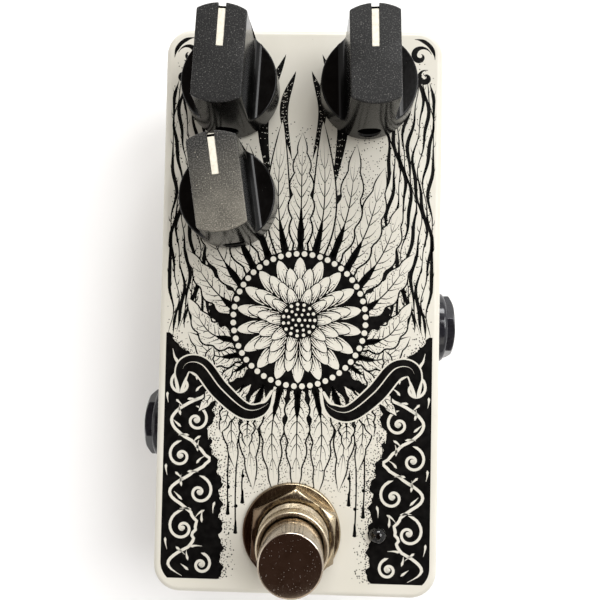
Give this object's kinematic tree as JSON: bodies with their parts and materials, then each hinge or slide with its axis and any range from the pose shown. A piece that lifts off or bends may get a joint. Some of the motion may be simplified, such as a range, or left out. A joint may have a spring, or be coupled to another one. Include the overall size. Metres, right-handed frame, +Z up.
{
  "type": "guitar effects pedal",
  "caption": "Mini guitar effects pedal: drafted die-cast box with pointer knobs, latching footswitch, status light, side jacks and a barrel power inlet.",
  "frame": {"origin": "centre of the underside of the base plate, where the pedal stands", "axes": "+Z up out of the face, +Y from the footswitch end towards the knobs and the power inlet, +X towards the input jack"},
  "size_m": [0.0588, 0.1029, 0.0476],
  "materials": {
    "powder_coat": "fine satin powder coat",
    "bare_plate": "cast and tumbled",
    "steel": "zinc plated",
    "shaft_metal": "turned",
    "nickel": "bright nickel plate",
    "brass": "turned",
    "knob_plastic": "moulded, satin top and glossy sides",
    "switch_plastic": "moulded",
    "jack_plastic": "moulded",
    "jack_gloss": "polished",
    "white_fill": "paint filled",
    "lens": "clear moulded",
    "board": "solder mask",
    "insulation": "extruded",
    "face_ink": "screen-printed ink, satin"
  },
  "bodies": {
    "casing": {"enclosure_shell": "powder_coat", "base_plate": "bare_plate", "base_screw_1": "steel", "base_screw_2": "steel", "base_screw_3": "steel", "base_screw_4": "steel", "pot_upper_left_housing": "steel", "pot_upper_left_nut": "nickel", "pot_upper_left_washer": "steel", "pot_upper_right_housing": "steel", "pot_upper_right_nut": "nickel", "pot_upper_right_washer": "steel", "pot_lower_left_housing": "steel", "pot_lower_left_nut": "nickel", "pot_lower_left_washer": "steel", "footswitch_body": "switch_plastic", "footswitch_terminals": "steel", "footswitch_bushing": "nickel", "footswitch_lower_nut": "nickel", "footswitch_washer": "nickel", "footswitch_nut": "nickel", "footswitch_spring": "steel", "status_led": "lens", "input_jack_housing": "jack_plastic", "input_jack_bushing": "nickel", "input_jack_washer": "jack_plastic", "input_jack_nut": "jack_gloss", "output_jack_housing": "jack_plastic", "output_jack_bushing": "nickel", "output_jack_washer": "jack_plastic", "output_jack_nut": "jack_gloss", "dc_jack_housing": "jack_plastic", "dc_jack_nut": "jack_plastic", "dc_jack_pin": "nickel", "main_board": "board", "amplifier_chip": "switch_plastic", "filter_capacitor": "insulation", "switch_board": "board", "ribbon_cable": "insulation", "input_wire": "insulation", "output_wire": "insulation", "power_wire": "insulation"},
    "dial_upper_left": {"pot_upper_left_shaft": "shaft_metal", "knob_upper_left": "knob_plastic", "knob_upper_left_pointer": "white_fill", "knob_upper_left_insert": "brass", "knob_upper_left_set_screw": "steel"},
    "dial_upper_right": {"pot_upper_right_shaft": "shaft_metal", "knob_upper_right": "knob_plastic", "knob_upper_right_pointer": "white_fill", "knob_upper_right_insert": "brass", "knob_upper_right_set_screw": "steel"},
    "dial_lower_left": {"pot_lower_left_shaft": "shaft_metal", "knob_lower_left": "knob_plastic", "knob_lower_left_pointer": "white_fill", "knob_lower_left_insert": "brass", "knob_lower_left_set_screw": "steel"},
    "plunger": {"footswitch_button": "nickel"},
    "input_contact": {"input_jack_tip_contact": "brass"},
    "output_contact": {"output_jack_tip_contact": "brass"}
  },
  "joints": [
    {"name": "upper_left_turn", "type": "hinge", "parent": "casing", "child": "dial_upper_left", "pos_m": [-0.0124, 0.0379, 0.031], "axis": [0, 0, 1], "range_deg": [-147.2, 152.8]},
    {"name": "upper_right_turn", "type": "hinge", "parent": "casing", "child": "dial_upper_right", "pos_m": [0.0111, 0.038, 0.031], "axis": [0, 0, 1], "range_deg": [-151.8, 148.2]},
    {"name": "lower_left_turn", "type": "hinge", "parent": "casing", "child": "dial_lower_left", "pos_m": [-0.0123, 0.0185, 0.031], "axis": [0, 0, 1], "range_deg": [-158.5, 141.5]},
    {"name": "footswitch_press", "type": "slide", "parent": "casing", "child": "plunger", "axis": [0, 0, -1], "range_m": [0, 0.0035], "stiffness_N_per_m": 2500, "springref_m": -0.004, "deforming": ["footswitch_spring"]},
    {"name": "input_contact_flex", "type": "hinge", "parent": "casing", "child": "input_contact", "pos_m": [0.0185, -0.0029, 0.0207], "axis": [0, 1, 0], "range_deg": [0, 3], "stiffness_Nm_per_rad": 0.05},
    {"name": "output_contact_flex", "type": "hinge", "parent": "casing", "child": "output_contact", "pos_m": [-0.0185, -0.0228, 0.0207], "axis": [0, -1, 0], "range_deg": [0, 3], "stiffness_Nm_per_rad": 0.05}
  ]
}
